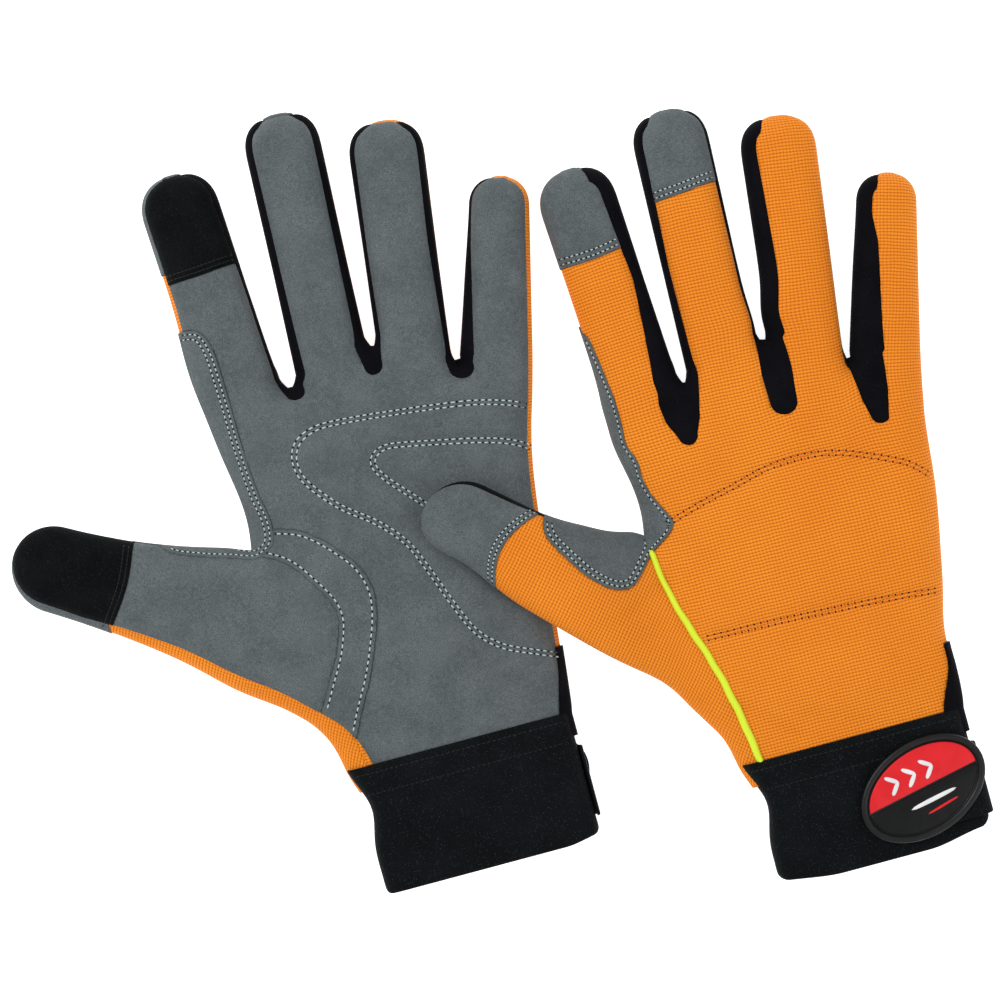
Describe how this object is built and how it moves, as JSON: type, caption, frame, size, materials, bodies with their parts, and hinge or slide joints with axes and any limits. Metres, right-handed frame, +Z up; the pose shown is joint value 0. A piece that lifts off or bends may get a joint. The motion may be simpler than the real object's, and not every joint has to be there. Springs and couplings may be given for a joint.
{
  "type": "work gloves",
  "caption": "Pair of knit-back work gloves with suede palms, touch fingertips, elastic cuffs and hook-and-loop closure tabs, lying one palm up and one back up.",
  "frame": {"origin": "centre of the pair's outline, on the surface that the gloves lie on", "axes": "+Z up; +Y from the cuffs to the fingertips; +X across the hands, from the left-hand glove to the right-hand glove"},
  "size_m": [0.3122, 0.2808, 0.0284],
  "materials": {
    "orange_knit": "ribbed stretch knit, matt",
    "grey_suede": "synthetic suede, fine nap",
    "black_stretch": "smooth stretch fabric",
    "touch_fabric": "fine suede, conductive",
    "black_elastic": "woven elastic, matt",
    "lime_piping": "satin bias tape",
    "foam": "soft foam sheet",
    "hook_and_loop": "hook and loop pile",
    "badge_rubber": "satin moulded rubber",
    "badge_red": "satin moulded rubber",
    "badge_black": "satin moulded rubber"
  },
  "bodies": {
    "left_glove": {"left_palm": "grey_suede", "left_thumb_palm": "grey_suede", "left_thenar_patch": "grey_suede", "left_back": "orange_knit", "left_thumb_back": "orange_knit", "left_index_cap": "grey_suede", "left_middle_cap": "grey_suede", "left_thumb_cap": "grey_suede", "left_fourchette_index_middle": "black_stretch", "left_fourchette_middle_ring": "black_stretch", "left_fourchette_ring_little": "black_stretch", "left_index_touch": "touch_fabric", "left_thumb_touch": "touch_fabric", "left_crotch_patch": "grey_suede", "left_piping": "lime_piping", "left_palm_padding": "foam", "left_back_padding": "foam", "left_cuff_palm": "black_elastic", "left_cuff_back": "black_elastic", "left_gusset": "black_stretch", "left_loop_patch": "hook_and_loop"},
    "right_glove": {"right_palm": "grey_suede", "right_thumb_palm": "grey_suede", "right_thenar_patch": "grey_suede", "right_back": "orange_knit", "right_thumb_back": "orange_knit", "right_index_cap": "grey_suede", "right_middle_cap": "grey_suede", "right_thumb_cap": "grey_suede", "right_fourchette_index_middle": "black_stretch", "right_fourchette_middle_ring": "black_stretch", "right_fourchette_ring_little": "black_stretch", "right_index_touch": "touch_fabric", "right_thumb_touch": "touch_fabric", "right_crotch_patch": "grey_suede", "right_piping": "lime_piping", "right_palm_padding": "foam", "right_back_padding": "foam", "right_cuff_palm": "black_elastic", "right_cuff_back": "black_elastic", "right_gusset": "black_stretch", "right_loop_patch": "hook_and_loop"},
    "left_tab": {"left_closure_tab": "black_elastic", "left_hook_patch": "hook_and_loop", "left_badge_base": "badge_rubber", "left_badge_upper": "badge_red", "left_badge_lower": "badge_black"},
    "right_tab": {"right_closure_tab": "black_elastic", "right_hook_patch": "hook_and_loop", "right_badge_base": "badge_rubber", "right_badge_upper": "badge_red", "right_badge_lower": "badge_black"}
  },
  "joints": [
    {"name": "left_tab_peel", "type": "hinge", "parent": "left_glove", "child": "left_tab", "pos_m": [0.00658, -0.091, 0.007], "axis": [0, -1, 0], "range_deg": [0, 170]},
    {"name": "right_glove_lift", "type": "slide", "parent": "left_glove", "child": "right_glove", "axis": [0, 0, 1], "range_m": [0, 0.06]},
    {"name": "right_tab_peel", "type": "hinge", "parent": "right_glove", "child": "right_tab", "pos_m": [0.12808, -0.122, 0.007], "axis": [0, 1, 0], "range_deg": [0, 170]}
  ]
}
